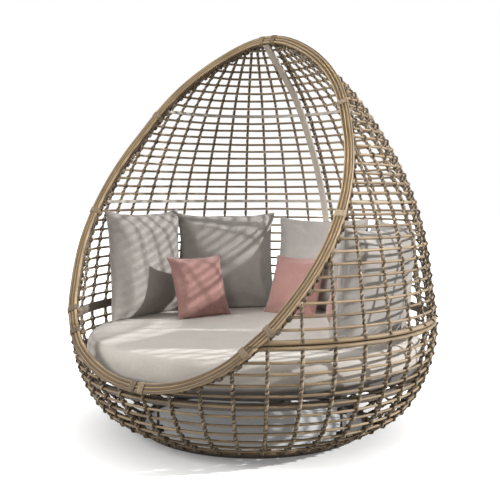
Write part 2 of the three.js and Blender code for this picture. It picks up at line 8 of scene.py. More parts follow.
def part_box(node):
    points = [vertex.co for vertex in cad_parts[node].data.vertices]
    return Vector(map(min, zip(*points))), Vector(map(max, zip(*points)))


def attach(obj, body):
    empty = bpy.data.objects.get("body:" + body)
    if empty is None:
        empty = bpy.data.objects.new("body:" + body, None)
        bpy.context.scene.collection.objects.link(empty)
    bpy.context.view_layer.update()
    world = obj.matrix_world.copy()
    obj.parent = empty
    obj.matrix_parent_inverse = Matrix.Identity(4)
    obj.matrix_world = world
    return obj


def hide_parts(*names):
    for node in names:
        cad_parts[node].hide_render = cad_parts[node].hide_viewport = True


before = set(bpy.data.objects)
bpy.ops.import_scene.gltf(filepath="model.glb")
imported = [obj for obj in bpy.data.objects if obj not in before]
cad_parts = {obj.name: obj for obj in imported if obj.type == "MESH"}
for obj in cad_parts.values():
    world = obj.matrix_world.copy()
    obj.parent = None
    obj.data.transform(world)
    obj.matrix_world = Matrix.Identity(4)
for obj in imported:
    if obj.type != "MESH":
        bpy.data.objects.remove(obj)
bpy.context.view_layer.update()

rng = np.random.default_rng(7)

# Sizes of the source, in metres
MM = 0.001
axis_y = (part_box("floor_ring")[0][1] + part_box("floor_ring")[1][1]) / 2
shell_radius = 925 * MM
shell_height = 2031 * MM
outline_shares = [
    (0.590, 0), (0.735, 0.034), (0.857, 0.076), (0.957, 0.160), (1, 0.265), (0.974, 0.370),
    (0.929, 0.496), (0.835, 0.622), (0.684, 0.748), (0.470, 0.874), (0.109, 1),
]
opening_bottom = shell_height * 0.17774
opening_top = shell_height * 0.98178
rim_shares = [
    (0, 0.02703, 0.00432), (0.07, 0.04, 0.00649), (0.13, 0.04108, 0.02162), (0.19, 0.03243, 0.00865),
    (0.27, 0.0227, 0.00649), (0.49, 0.01514, 0.01081), (0.71, 0.01297, 0.01189), (0.86, 0.01946, 0),
    (0.94, 0.02054, -0.02703), (1, 0.02378, -0.02703),
]
seam_height = shell_height * 0.28557
lower_hoop_height = shell_height * 0.57016
upper_hoop_height = shell_height * 0.81192
strand_count = 40
rod_radius = 6.2 * MM
rod_wobble = 0.8 * MM
cord_radius = 5.4 * MM
seam_ring_radius = 10 * MM
seam_ring_rise = 12 * MM
seam_ring_in = 3.5 * MM
base_rod_low = shell_height * 0.01182
base_rod_high = shell_height * 0.2516
base_rod_power = 1.11
base_rod_count = 12
pole_pitch = 15.8 * MM
pole_radius = 7.7 * MM
row_pitch = 14.6 * MM
back_pole_out = 11 * MM
rim_tube_in = 9 * MM
rim_tube_back = 19 * MM
rim_tube_radius = 8.5 * MM
rim_joint = 14 * MM
pole_gap = rim_joint / 12
rim_back = rim_tube_back + rim_tube_radius
wrap_length = 32 * MM
search_steps = 40


# Curves
def uniform_spline(points, samples):
    """A smooth curve through points with even parameters, as many samples."""
    points = np.asarray(points, float)
    count = len(points)
    out = []
    for t in np.linspace(0, count - 1, samples):
        i = min(int(t), count - 2)
        w = t - i
        p0, p1 = points[max(i - 1, 0)], points[i]
        p2, p3 = points[i + 1], points[min(i + 2, count - 1)]
        v0, v1 = (p2 - p0) / 2, (p3 - p1) / 2
        out.append((2 * p1 - 2 * p2 + v0 + v1) * w**3
                   + (-3 * p1 + 3 * p2 - 2 * v0 - v1) * w**2 + v0 * w + p1)
    return np.array(out)


def closed_spline(points, per_span):
    """A closed smooth curve through points, which turns evenly where they are far apart."""
    points = np.asarray(points, float)
    count = len(points)
    out = []
    for i in range(count):
        p = [points[(i + k) % count] for k in (-1, 0, 1, 2)]
        d = [max(np.sum((p[k + 1] - p[k]) ** 2) ** 0.25, 1e-6) for k in range(3)]
        t1 = ((p[1] - p[0]) / d[0] - (p[2] - p[0]) / (d[0] + d[1]) + (p[2] - p[1]) / d[1]) * d[1]
        t2 = ((p[2] - p[1]) / d[1] - (p[3] - p[1]) / (d[1] + d[2]) + (p[3] - p[2]) / d[2]) * d[1]
        for w in np.arange(per_span) / per_span:
            out.append(p[1] + t1 * w + (-3 * p[1] + 3 * p[2] - 2 * t1 - t2) * w**2
                       + (2 * p[1] - 2 * p[2] + t1 + t2) * w**3)
    return np.array(out)


def search(low, high, below):
    """The narrow span between low and high in which below stops being true."""
    for _ in range(search_steps):
        middle = (low + high) / 2
        if below(middle):
            low = middle
        else:
            high = middle
    return low, high


def lengths(path):
    """How far along a path each of its points is."""
    return np.concatenate([[0], np.cumsum(np.linalg.norm(np.diff(path, axis=0), axis=1))])


outline = uniform_spline([(r * shell_radius, h * shell_height) for r, h in outline_shares], 6000)
outline_length = lengths(outline)


def radius_at(height):
    return np.interp(height, outline[:, 1], outline[:, 0])


def slope_at(height):
    """The outward direction of the outline at a height, as (radius, height)."""
    step = 0.002
    dr = radius_at(height + step) - radius_at(height - step)
    along = np.array([dr, 2 * step])
    along /= np.linalg.norm(along)
    return np.array([along[1], -along[0]])


def even_heights(low, high, gaps):
    """Heights between two others that are evenly spaced along the outline."""
    start, end = np.interp([low, high], outline[:, 1], outline_length)
    return np.interp(np.linspace(start, end, gaps + 1), outline_length, outline[:, 1])


def outward(angle):
    return np.array([math.sin(angle), -math.cos(angle), 0.0])


def on_circle(angle, radius, height):
    return outward(angle) * radius + np.array([0, 0, height])


opening_low_y = -radius_at(opening_bottom)
opening_high_y = radius_at(opening_top)
facing = np.array([0, -(opening_top - opening_bottom), opening_high_y - opening_low_y])
facing /= np.linalg.norm(facing)


def opening_y(height):
    share = (height - opening_bottom) / (opening_top - opening_bottom)
    return opening_low_y + (opening_high_y - opening_low_y) * share


def rim_offsets(height):
    """How far the rim's middle line is in front of the opening's plane and inside the shell."""
    share = min(max((height - opening_bottom) / (opening_top - opening_bottom), 0), 1)
    places = [row[0] for row in rim_shares]
    forward = np.interp(share, places, [row[1] for row in rim_shares])
    inset = np.interp(share, places, [row[2] for row in rim_shares])
    return forward * shell_radius, inset * shell_radius


def behind_rim(point):
    """How far a point is behind the rim's middle line, square to the opening."""
    return (opening_y(point[2]) - point[1]) * facing[1] + rim_offsets(point[2])[0]


def rim_point(share):
    height = opening_bottom + (opening_top - opening_bottom) * (1 - math.cos(math.pi * share)) / 2
    forward, inset = rim_offsets(height)
    radius = radius_at(height) - inset * math.sin(math.pi * share)
    level = opening_y(height)
    side = math.sqrt(max(radius**2 - level**2, 0))
    return np.array([side, level, height]) + facing * forward


rim_half = 22
rim_right = [rim_point(i / rim_half) for i in range(rim_half)]
rim_left = [rim_point(i / rim_half) * np.array([-1, 1, 1]) for i in range(rim_half, 0, -1)]
rim_path = closed_spline(rim_right + rim_left, 60)
rim_closed = np.vstack([rim_path, rim_path[:1]])
rim_lengths = lengths(rim_closed)
rim_length = rim_lengths[-1]


def on_rim(length):
    return np.array([np.interp(length % rim_length, rim_lengths, rim_closed[:, k]) for k in range(3)])


def rim_frame(length):
    """A place on the rim's middle line, and its outward directions in the opening and out of it."""
    length = length % rim_length
    step = 0.004
    along = on_rim(length + step) - on_rim(length - step)
    along /= np.linalg.norm(along)
    out = np.cross(along, facing)
    out /= np.linalg.norm(out)
    front = np.cross(out, along)
    return on_rim(length), out, front


def in_bundle(length, out_by, front_by):
    """A place beside the rim's middle line, where a pole or a cord runs."""
    place, out, front = rim_frame(length)
    return place + out * out_by + front * front_by


def rim_length_at(height, out_by=0.0, front_by=0.0):
    """How far along the rim, on the +X side, a place in the bundle is at a height."""
    return sum(search(0.0, rim_length / 2, lambda s: in_bundle(s, out_by, front_by)[2] < height)) / 2


# Swept meshes
lay_shift = 50


def placed(piece):
    bpy.context.collection.objects.link(piece)
    return piece


def keep_places(mesh, name, places):
    """Keeps a place for each point of a mesh, which its material reads."""
    attribute = mesh.attributes.new(name, "FLOAT_VECTOR", "POINT")
    attribute.data.foreach_set("vector", places.astype(np.float32).ravel())


class Sweeps:
    """Collects swept tubes into one mesh, with how far along and round its tube each point is."""

    def __init__(self, name):
        self.name = name
        self.points, self.faces, self.lay, self.tone = [], [], [], []
        self.count = 0

    def ring_points(self, centres, out, across, radius, sides):
        angles = np.arange(sides) * 2 * math.pi / sides
        radius = np.broadcast_to(np.asarray(radius, float), (len(centres),))
        return (centres[:, None, :]
                + out[:, None, :] * (np.cos(angles)[None, :, None] * radius[:, None, None])
                + across[:, None, :] * (np.sin(angles)[None, :, None] * radius[:, None, None]))

    def add_rings(self, rings, closed=False, tone=None):
        spans, sides = rings.shape[:2]
        middles = rings.mean(axis=1)
        along = lengths(middles) + rng.random() * lay_shift
        self.points.append(rings.reshape(-1, 3))
        angles = np.arange(sides) * 2 * math.pi / sides
        size = np.linalg.norm(rings[0] - middles[0], axis=1).mean()
        lay = np.zeros((spans, sides, 3))
        lay[:, :, 0] = along[:, None]
        lay[:, :, 1] = np.cos(angles)[None] * size
        lay[:, :, 2] = np.sin(angles)[None] * size
        self.lay.append(lay.reshape(-1, 3))
        value = rng.random() if tone is None else tone
        self.tone.append(np.full(spans * sides, value))
        index = np.arange(spans * sides).reshape(spans, sides) + self.count
        top = index if closed else index[:-1]
        beside = np.roll(index, -1, axis=0) if closed else index[1:]
        quads = np.stack([top, np.roll(top, -1, axis=1), np.roll(beside, -1, axis=1), beside], axis=-1)
        self.faces.extend(quads.reshape(-1, 4).tolist())
        if not closed:
            self.faces.append(index[0][::-1].tolist())
            self.faces.append(index[-1].tolist())
        self.count += spans * sides

    def tube(self, path, radius, sides=8, closed=False, guide=None, tone=None):
        """A round tube along a path; guide gives a direction across it at each point."""
        path = np.asarray(path, float)
        if closed:
            along = np.roll(path, -1, axis=0) - np.roll(path, 1, axis=0)
        else:
            along = np.gradient(path, axis=0)
        along /= np.linalg.norm(along, axis=1)[:, None]
        if guide is None:
            guide = np.zeros_like(path)
            across = np.cross(along[0], [0.13, 0.37, 0.91])
            across /= np.linalg.norm(across)
            for i in range(len(path)):
                across = across - along[i] * np.dot(across, along[i])
                across /= np.linalg.norm(across)
                guide[i] = across
        guide = guide - along * np.sum(guide * along, axis=1)[:, None]
        guide /= np.linalg.norm(guide, axis=1)[:, None]
        side = np.cross(along, guide)
        self.add_rings(self.ring_points(path, guide, side, radius, sides), closed, tone)

    def build(self, material, smooth=True):
        mesh = bpy.data.meshes.new(self.name)
        points = np.vstack(self.points) + np.array([0, axis_y, 0])
        mesh.from_pydata(points.tolist(), [], self.faces)
        keep_places(mesh, "lay", np.vstack(self.lay))
        attribute = mesh.attributes.new("tone", "FLOAT", "POINT")
        attribute.data.foreach_set("value", np.concatenate(self.tone).astype(np.float32))
        mesh.polygons.foreach_set("use_smooth", np.full(len(mesh.polygons), smooth))
        mesh.materials.append(material)
        mesh.update()
        return placed(bpy.data.objects.new(self.name, mesh))


def settle(piece, slot, *nodes):
    """Fixes a piece to the body and replaces the nodes that it stands for; slot is not used."""
    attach(piece, "root")
    if nodes:
        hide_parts(*nodes)


# Materials
class Nodes:
    """Writes a material or the daylight, step by step."""

    def __init__(self, owner):
        self.owner = owner
        owner.use_nodes = True
        self.tree = owner.node_tree
        self.shader = self.tree.nodes.get("Principled BSDF")

    def add(self, kind, **settings):
        node = self.tree.nodes.new(kind)
        for key, value in settings.items():
            setattr(node, key, value)
        return node

    def link(self, source, target):
        self.tree.links.new(source, target)

    def attribute(self, name):
        return self.add("ShaderNodeAttribute", attribute_name=name, attribute_type="GEOMETRY")

    def split(self, vector):
        node = self.add("ShaderNodeSeparateXYZ")
        self.link(vector, node.inputs[0])
        return node.outputs

    def math(self, operation, first, second=None, clamp=False):
        node = self.add("ShaderNodeMath", operation=operation, use_clamp=clamp)
        for socket, value in zip(node.inputs, (first, second)):
            if value is None:
                continue
            if isinstance(value, (int, float)):
                socket.default_value = value
            else:
                self.link(value, socket)
        return node.outputs[0]

    def plus(self, first, second):
        return self.math("ADD", first, second)

    def minus(self, first, second, clamp=False):
        return self.math("SUBTRACT", first, second, clamp)

    def times(self, first, second, clamp=False):
        return self.math("MULTIPLY", first, second, clamp)

    def stretched(self, vector, scale):
        node = self.add("ShaderNodeMapping")
        self.link(vector, node.inputs["Vector"])
        node.inputs["Scale"].default_value = scale
        return node.outputs[0]

    def mapped(self, value, source, target, **settings):
        """A value taken from one range to another."""
        node = self.add("ShaderNodeMapRange", **settings)
        for key, number in zip(("From Min", "From Max", "To Min", "To Max"), (*source, *target)):
            node.inputs[key].default_value = number
        self.link(value, node.inputs["Value"])
        return node.outputs[0]

    def direct_rays(self):
        """1 for the rays that see the plain background: from the camera, in mirrors and through glass."""
        rays = self.add("ShaderNodeLightPath").outputs
        seen = self.math("MAXIMUM", rays["Is Camera Ray"], rays["Is Glossy Ray"])
        return self.math("MAXIMUM", seen, rays["Is Transmission Ray"])

    def noise(self, vector, scale, detail, roughness):
        node = self.add("ShaderNodeTexNoise")
        self.link(vector, node.inputs["Vector"])
        node.inputs["Scale"].default_value = scale
        node.inputs["Detail"].default_value = detail
        node.inputs["Roughness"].default_value = roughness
        return node.outputs["Fac"]

    def ramp(self, value, stops):
        node = self.add("ShaderNodeValToRGB")
        self.link(value, node.inputs[0])
        ramp = node.color_ramp
        while len(ramp.elements) < len(stops):
            ramp.elements.new(0.5)
        for element, (place, colour) in zip(ramp.elements, stops):
            element.position = place
            element.color = (*colour, 1)
        return node.outputs[0]

    def mix(self, share, first, second):
        node = self.add("ShaderNodeMix", data_type="RGBA")
        sockets = [s for s in node.inputs if s.enabled]
        for socket, value in zip(sockets, (share, first, second)):
            if isinstance(value, (int, float)):
                socket.default_value = value
            elif isinstance(value, tuple):
                socket.default_value = (*value, 1)
            else:
                self.link(value, socket)
        return next(s for s in node.outputs if s.enabled)

    def bump(self, height, strength, distance):
        node = self.add("ShaderNodeBump")
        node.inputs["Strength"].default_value = strength
        node.inputs["Distance"].default_value = distance
        self.link(height, node.inputs["Height"])
        self.link(node.outputs[0], self.shader.inputs["Normal"])

    def set(self, **values):
        for key, value in values.items():
            self.shader.inputs[key.replace("_", " ")].default_value = value


def linear(code):
    """A colour written as a screen sees it, in linear light."""
    parts = [int(code[i:i + 2], 16) / 255 for i in (0, 2, 4)]
    return tuple(c / 12.92 if c <= 0.04045 else ((c + 0.055) / 1.055) ** 2.4 for c in parts)


def new_nodes(name):
    return Nodes(bpy.data.materials.new(name))


# How many streaks, fibres or slubs each surface has in a metre, along and across
rattan_streaks, rattan_bands = (6, 900, 900), (9, 90, 90)
cord_fibres, cord_patches = (60, 700, 700), (25, 60, 60)
coat_grains, coat_clouds = 700, 9
weft_slubs, warp_slubs = (60, 800, 60), (800, 60, 60)
cloth_clouds = 7
thread = 1.25 * MM
grain_depth = 0.6 * MM
coat_depth = 0.4 * MM
# How far round a pole the painted shade of its grooves starts, and how dark it gets
groove_shade_from = 0.74
groove_shade_dark = 0.22
# How dark the painted shade on the seat cushion's lower side is
underside_shade_dark = 0.3


def rattan_material(name, colours, roughness=0.55, painted_groove_shade=False):
    """Grained synthetic rattan: long streaks along each rod, and rods that differ a little.

    A pole with painted groove shade is painted darker at its two sides, where it meets its neighbours:
    painted shade for the grooves between the poles.
    """
    n = new_nodes(name)
    dark, middle, light = map(linear, colours)
    lay = n.attribute("lay").outputs["Vector"]
    tone = n.attribute("tone").outputs["Fac"]
    fine = n.noise(n.stretched(lay, rattan_streaks), 1.0, 4, 0.6)
    broad = n.noise(n.stretched(lay, rattan_bands), 1.0, 3, 0.5)
    grain = n.plus(n.times(fine, 0.62), n.times(broad, 0.38))
    grain = n.plus(grain, n.times(n.minus(tone, 0.5), 0.16))
    colour = n.ramp(grain, [(0.30, dark), (0.5, middle), (0.72, light)])
    if painted_groove_shade:
        # Painted shade: the pole grows darker towards its two sides, in the grooves between the poles
        side = n.math("DIVIDE", n.math("ABSOLUTE", n.split(lay)[1]), pole_radius)
        side = n.minus(side, groove_shade_from, clamp=True)
        side = n.times(side, 1 / (1 - groove_shade_from))
        colour = n.mix(side, colour, tuple(c * groove_shade_dark for c in dark))
    n.link(colour, n.shader.inputs["Base Color"])
    n.set(Roughness=roughness)
    n.bump(fine, 0.5, grain_depth)
    return n.owner


def cord_material(name, colours, spread=0.5):
    """Twisted cord: fine fibres that run along it, and cords of different tones; the lighter cord of a
    twisted pair is partly painted highlight.
    """
    n = new_nodes(name)
    dark, middle, light = map(linear, colours)
    lay = n.attribute("lay").outputs["Vector"]
    tone = n.attribute("tone").outputs["Fac"]
    fibre = n.noise(n.stretched(lay, cord_fibres), 1.0, 3, 0.6)
    patch = n.noise(n.stretched(lay, cord_patches), 1.0, 2, 0.5)
    grain = n.plus(n.times(fibre, 0.5), n.times(patch, 0.5))
    grain = n.plus(grain, n.times(n.minus(tone, 0.5), spread))
    colour = n.ramp(grain, [(0.26, dark), (0.5, middle), (0.74, light)])
    n.link(colour, n.shader.inputs["Base Color"])
    n.set(Roughness=0.75)
    n.bump(fibre, 0.5, grain_depth)
    return n.owner


def coat_material(name, colour, roughness=0.45):
    """Powder coat: a fine orange-peel grain."""
    n = new_nodes(name)
    colour = linear(colour)
    place = n.add("ShaderNodeTexCoord").outputs["Object"]
    grain = n.noise(place, coat_grains, 2, 0.5)
    cloud = n.noise(place, coat_clouds, 3, 0.5)
    darker = tuple(c * 0.82 for c in colour)
    n.link(n.mix(cloud, darker, colour), n.shader.inputs["Base Color"])
    n.set(Roughness=roughness)
    n.bump(grain, 0.15, coat_depth)
    return n.owner


def fabric_material(name, colours, slub=0.0, underside_shade_top=None):
    """Plain weave: threads across and along, with slubs and a soft sheen.

    Below the height that the last argument gives, the cover is painted darker: painted shade on the
    cushion's lower side.
    """
    n = new_nodes(name)
    dark, light = map(linear, colours)
    cloth = n.attribute("cloth").outputs["Vector"]
    places = n.split(cloth)
    frequency = math.pi / thread
    weft = n.math("SINE", n.times(places[0], frequency))
    warp = n.math("SINE", n.times(places[1], frequency))
    plain = n.times(weft, warp)
    runs_x = n.noise(n.stretched(cloth, weft_slubs), 1.0, 2, 0.5)
    runs_y = n.noise(n.stretched(cloth, warp_slubs), 1.0, 2, 0.5)
    runs = n.times(n.plus(runs_x, runs_y), 0.5)
    cloud = n.noise(cloth, cloth_clouds, 3, 0.5)
    share = n.plus(n.times(runs, 0.55 + slub), n.times(plain, 0.05))
    share = n.plus(share, n.times(cloud, 0.3))
    colour = n.ramp(share, [(0.22, dark), (0.62 + slub * 0.5, light)])
    if underside_shade_top:
        # Painted shade: the cover is darker below that height
        underside_shade_mask = n.times(n.minus(underside_shade_top, places[2]), 40, clamp=True)
        colour = n.mix(underside_shade_mask, colour, tuple(c * underside_shade_dark for c in dark))
    n.link(colour, n.shader.inputs["Base Color"])
    n.set(Roughness=0.92, Sheen_Weight=0.25, Sheen_Roughness=0.5)
    height = n.plus(n.times(plain, 0.5), n.times(runs, 1.2))
    n.bump(height, 0.35, grain_depth)
    return n.owner


rod_look = rattan_material("rattan_rods", ("5b4936", "8c7759", "b59d7e"))
# The poles get painted shade in the grooves between them
pole_look = rattan_material("rattan_poles", ("6f583e", "a58c68", "d2b890"), 0.5, painted_groove_shade=True)
cord_look = cord_material("twisted_cord", ("362c24", "766957", "ac9b84"))
wrap_look = cord_material("wrap_cord", ("5d4f3f", "94826b", "b8a58a"), 0.3)
lace_look = cord_material("dark_lacing", ("6b6259", "958b7f", "bab0a3"), 0.3)
coat_look = coat_material("powder_coat", "c6beb1")
# A darker copy of the powder coat for the frame under the seat: painted shade
shaded_base_coat_look = coat_material("powder_coat_painted_shade", "5c5247")
# The frame tube in the rim gets a dark copy of the coat: painted shade inside the rim
shaded_tube_look = coat_material("powder_coat_painted_rim_shade", "5b4b38")
foot_look = coat_material("foot_plastic", "4a4743", 0.7)
seat_low, seat_high = (corner[2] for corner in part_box("seat_cushion"))
# The seat cushion is painted darker, as painted shade, below this share of its height
underside_shade_share = 0.36
seat_underside_shade_top = seat_low + (seat_high - seat_low) * underside_shade_share
seat_look = fabric_material("seat_fabric", ("b3aca4", "d0cac1"), underside_shade_top=seat_underside_shade_top)
grey_look = fabric_material("grey_fabric", ("8f8984", "b3aea8"))
pink_look = fabric_material("pink_fabric", ("875c56", "ad877f"), 0.12)

# Weave
base_rods = [base_rod_low + (base_rod_high - base_rod_low) * (i / (base_rod_count - 1)) ** base_rod_power
             for i in range(base_rod_count)]
canopy_rods = [
    *even_heights(seam_height + seam_ring_rise, lower_hoop_height, 11)[1:],
    *even_heights(lower_hoop_height, upper_hoop_height, 12)[1:],
    *even_heights(upper_hoop_height, opening_top, 10)[1:-1],
]
base_ring_height = seam_height - seam_ring_rise
canopy_ring_height = seam_height + seam_ring_rise


def arc_angles(height, radius, behind, steps):
    """Angles of a ring or arc that stops behind the rim, and whether it is a whole ring."""
    if behind_rim(on_circle(0, radius, height)) > behind:
        return np.linspace(0, 2 * math.pi, steps, endpoint=False), True
    _, start = search(0.0, math.pi, lambda a: behind_rim(on_circle(a, radius, height)) < behind)
    count = max(int(steps * (math.pi - start) / math.pi), 6)
    return np.linspace(start, 2 * math.pi - start, count), False


ring_steps = 120
rod_stop = rim_back - 3 * MM


def add_ring(sweeps, height, radius, tube, sides=8, behind=rod_stop, wobble=0.0):
    """A round rod bent into a ring or arc, with a slight waver; gives the angle where it starts."""
    angles, closed = arc_angles(height, radius, behind, ring_steps)
    shift = rng.random(2) * 10
    rise = wobble * np.sin(angles * 5 + shift[0]) + wobble * 0.6 * np.sin(angles * 11 + shift[1])
    path = np.array([on_circle(a, radius, height + r) for a, r in zip(angles, rise)])
    guide = np.array([outward(a) for a in angles])
    sweeps.tube(path, tube, sides, closed, guide)
    return angles[0] if not closed else 0.0


rod_ends = []
rods_base = Sweeps("woven_rods_base")
for height in base_rods:
    end = add_ring(rods_base, height, radius_at(height), rod_radius, wobble=rod_wobble)
    if end > 0:
        rod_ends.append((height, end))
rods_canopy = Sweeps("woven_rods_canopy")
for height in canopy_rods:
    end = add_ring(rods_canopy, height, radius_at(height), rod_radius, wobble=rod_wobble)
    rod_ends.append((height, end))
settle(rods_base.build(rod_look), "rattan", "base_weave")
settle(rods_canopy.build(rod_look), "rattan", "canopy_weave")

for name, height in (("base_top_ring", base_ring_height), ("canopy_bottom_ring", canopy_ring_height)):
    ring = Sweeps(name + "_round")
    add_ring(ring, height, radius_at(height) - seam_ring_in, seam_ring_radius, 12)
    settle(ring.build(rod_look), "rattan", name)


def ease(t):
    """Goes from 0 to 1 and is level at both ends."""
    t = np.clip(t, 0, 1)
    return t * t * (3 - 2 * t)


long_gap = 30 * MM
end_gap = 6 * MM
grip_length = 0.013
hold_length = 8 * MM
cord_apart = 0.93
cord_apart_most = 1.25
crossing_slack = 1 * MM
# One cord of each strand is lighter than the other: partly two tones, partly painted highlight on the twist
strand_tones_and_highlight = ((0, 0.16), (math.pi, 0.72))


def strand(sweeps, angle, crossings, low, high, girth=1.0, aside=0.0):
    """Two cords twisted round each other, which swap sides at every crossing.

    crossings are the rods that the strand passes, as (height, radius). girth is its thickness and aside
    how far it lies beside its angle.
    """
    out, across, up = outward(angle), outward(angle + math.pi / 2), np.array([0, 0, 1])
    thick = cord_radius * girth
    marks = [(h, r) for h, r in crossings if low - crossing_slack <= h <= high + crossing_slack]
    if not marks:
        return
    stops = list(marks)
    if low < marks[0][0] - end_gap:
        stops.insert(0, (low, 0.0))
    if high > marks[-1][0] + end_gap:
        stops.append((high, 0.0))
    heights, spread, turn = [], [], []
    phase = 0.0
    for (h0, r0), (h1, r1) in zip(stops[:-1], stops[1:]):
        gap = (h1 - h0) / max(slope_at((h0 + h1) / 2)[0], 0.25)
        steps, turns = (12, 3) if gap > long_gap else (8, 1)
        t = np.arange(steps) / steps
        heights.append(h0 + (h1 - h0) * t)
        grip = grip_length / gap
        near = np.maximum(r0 * ease(1 - t / grip), r1 * ease(1 - (1 - t) / grip))
        spread.append(thick * cord_apart + near)
        hold = min(hold_length / gap, 0.3)
        way = (t - hold) / (1 - 2 * hold)
        turn.append(phase + math.pi * turns * ease(way) * 0.6 + math.pi * turns * np.clip(way, 0, 1) * 0.4)
        phase += math.pi * turns
    heights.append([stops[-1][0]])
    spread.append([thick * cord_apart + stops[-1][1]])
    turn.append([phase])
    heights, spread, turn = map(np.concatenate, (heights, spread, turn))
    slopes = np.array([slope_at(h) for h in heights])
    normals = out[None] * slopes[:, :1] + up[None] * slopes[:, 1:]
    middle = out[None] * radius_at(heights)[:, None] + up[None] * heights[:, None] - across[None] * aside
    beside = np.minimum(spread, thick * cord_apart_most)
    for half, tone in strand_tones_and_highlight:
        path = (middle + normals * (spread * np.cos(turn + half))[:, None]
                + across[None] * (beside * np.sin(turn + half))[:, None])
        sweeps.tube(path, thick, 6, guide=normals + across[None] * 0.3, tone=tone + 0.2 * rng.random())


def strand_limit(angle, low, high):
    """Where a strand stops: at high, or lower down where it comes to the rim."""
    inside = rim_back - 4 * MM
    if behind_rim(on_circle(angle, radius_at(high), high)) > inside:
        return high
    return sum(search(low, high, lambda h: behind_rim(on_circle(angle, radius_at(h), h)) > inside)) / 2


# The strand in the middle of the rear is thicker and lies beside the spine
rear_girth = 1.1
canopy_girth = 0.84
rear_aside = 27 * MM
ring_grip = seam_ring_radius * 0.8
cords_base = Sweeps("woven_cords_base")
cords_right = Sweeps("woven_cords_canopy_right")
cords_left = Sweeps("woven_cords_canopy_left")
base_crossings = [(h, rod_radius) for h in base_rods] + [(base_ring_height, ring_grip)]
canopy_crossings = [(canopy_ring_height, ring_grip)] + [(h, rod_radius) for h in canopy_rods]
strand_ends = []
for index in range(strand_count):
    angle = index * 2 * math.pi / strand_count
    top = strand_limit(angle, base_rods[0], base_ring_height)
    strand(cords_base, angle, base_crossings, base_rods[0], top)
    if top < base_ring_height:
        strand_ends.append((angle, top))
    if behind_rim(on_circle(angle, radius_at(canopy_rods[1]), canopy_rods[1])) > rim_back:
        top = strand_limit(angle, canopy_ring_height, opening_top - 10 * MM)
        rear = index == strand_count // 2
        cords = cords_right if index <= strand_count // 2 else cords_left
        strand(cords, angle, canopy_crossings, canopy_ring_height, top,
               girth=rear_girth if rear else canopy_girth, aside=rear_aside if rear else 0.0)
        strand_ends.append((angle, top))
settle(cords_base.build(cord_look), "rattan", "base_weave")
settle(cords_right.build(cord_look), "rattan", "canopy_weave")
settle(cords_left.build(cord_look), "rattan", "canopy_weave")

# Rim
pole_step = 20 * MM
bundle = [
    ("pole_inner", -pole_pitch, 0.0, pole_radius, pole_look, "rim_pole"),
    ("pole_middle", 0.0, 0.0, pole_radius, pole_look, "rim_pole"),
    ("pole_outer", pole_pitch, 0.0, pole_radius, pole_look, "rim_pole"),
    ("pole_back", back_pole_out, -row_pitch, pole_radius, pole_look, "rim_pole"),
    ("frame_tube", -rim_tube_in, -rim_tube_back, rim_tube_radius, shaded_tube_look, "aluminium"),
]


def bundle_path(start, end, out_by, front_by):
    count = max(int((end - start) / pole_step), 2)
    return np.array([in_bundle(s, out_by, front_by) for s in np.linspace(start, end, count)])


for name, out_by, front_by, radius, look, slot in bundle:
    joint = rim_length_at(seam_height, out_by, front_by)
    for part, start, end in (("upper", joint + pole_gap, rim_length - joint - pole_gap),
                             ("lower", -joint + pole_gap, joint - pole_gap)):
        pole = Sweeps(f"{part}_{name}_round")
        pole.tube(bundle_path(start, end, out_by, front_by), radius, 12)
        settle(pole.build(look), slot, f"rim_{part}_{name}")


def hull_ring(circles, points):
    """The section of a cord laid round circles, given as (out, front, radius), as (out, front) pairs."""
    cloud = []
    for a in np.linspace(0, 2 * math.pi, 180, endpoint=False):
        d = np.array([math.cos(a), math.sin(a)])
        best = max(circles, key=lambda c: c[0] * d[0] + c[1] * d[1] + c[2])
        cloud.append([best[0] + d[0] * best[2], best[1] + d[1] * best[2]])
    cloud = np.array(cloud + cloud[:1])
    far = lengths(cloud)
    places = np.linspace(0, far[-1], points, endpoint=False)
    return np.stack([np.interp(places, far, cloud[:, k]) for k in (0, 1)], axis=1)


wrap_cord_radius = 1.9 * MM
wrap_pitch = 2 * wrap_cord_radius * 0.98
wrap_section = hull_ring([(o, f, r + wrap_cord_radius) for _, o, f, r, _, _ in bundle], 40)


def wrap(name, middle, node):
    """A cord wound round the bundle, turn beside turn."""
    sweeps = Sweeps(name)
    turns = int(wrap_length / wrap_pitch)
    per_turn = len(wrap_section)
    path = []
    for i in range(turns * per_turn + 1):
        out_by, front_by = wrap_section[i % per_turn]
        share = i / per_turn / turns - 0.5
        path.append(in_bundle(middle + share * (wrap_length - 2 * wrap_cord_radius), out_by, front_by))
    sweeps.tube(np.array(path), wrap_cord_radius, 6)
    settle(sweeps.build(wrap_look), "wrap_cord", node)


seam_along = rim_length_at(seam_height)
wraps = {
    "bottom": 24 * MM,
    "base_seam": seam_along - 34 * MM,
    "canopy_seam": seam_along + 100 * MM,
    "lower_hoop": rim_length_at(lower_hoop_height) - 54 * MM,
    "upper_hoop": rim_length_at(upper_hoop_height) - 36 * MM,
    "top": rim_length / 2 - 36 * MM,
}
for name, place in wraps.items():
    wrap(f"wound_{name}_right", place, f"wrap_{name}_right")
    wrap(f"wound_{name}_left", -place, f"wrap_{name}_left")

# A twisted cord follows the back of the rim, and lashings tie every rod and strand end to it
edge_out, edge_back = 4 * MM, 41 * MM
edge_step = 0.0045
edge_pitch = 34 * MM


def twisted(sweeps, middle, first, second, radius, pitch):
    """Two cords twisted round each other, one lighter than the other: partly two tones, partly painted
    highlight on the twist; first and second lie across the path.
    """
    turn = lengths(middle) * 2 * math.pi / pitch
    apart = radius * 0.95
    for half, tone in ((0, 0.15), (math.pi, 0.85)):
        path = (middle + first * (apart * np.cos(turn + half))[:, None]
                + second * (apart * np.sin(turn + half))[:, None])
        sweeps.tube(path, radius, 6, guide=first, tone=tone)


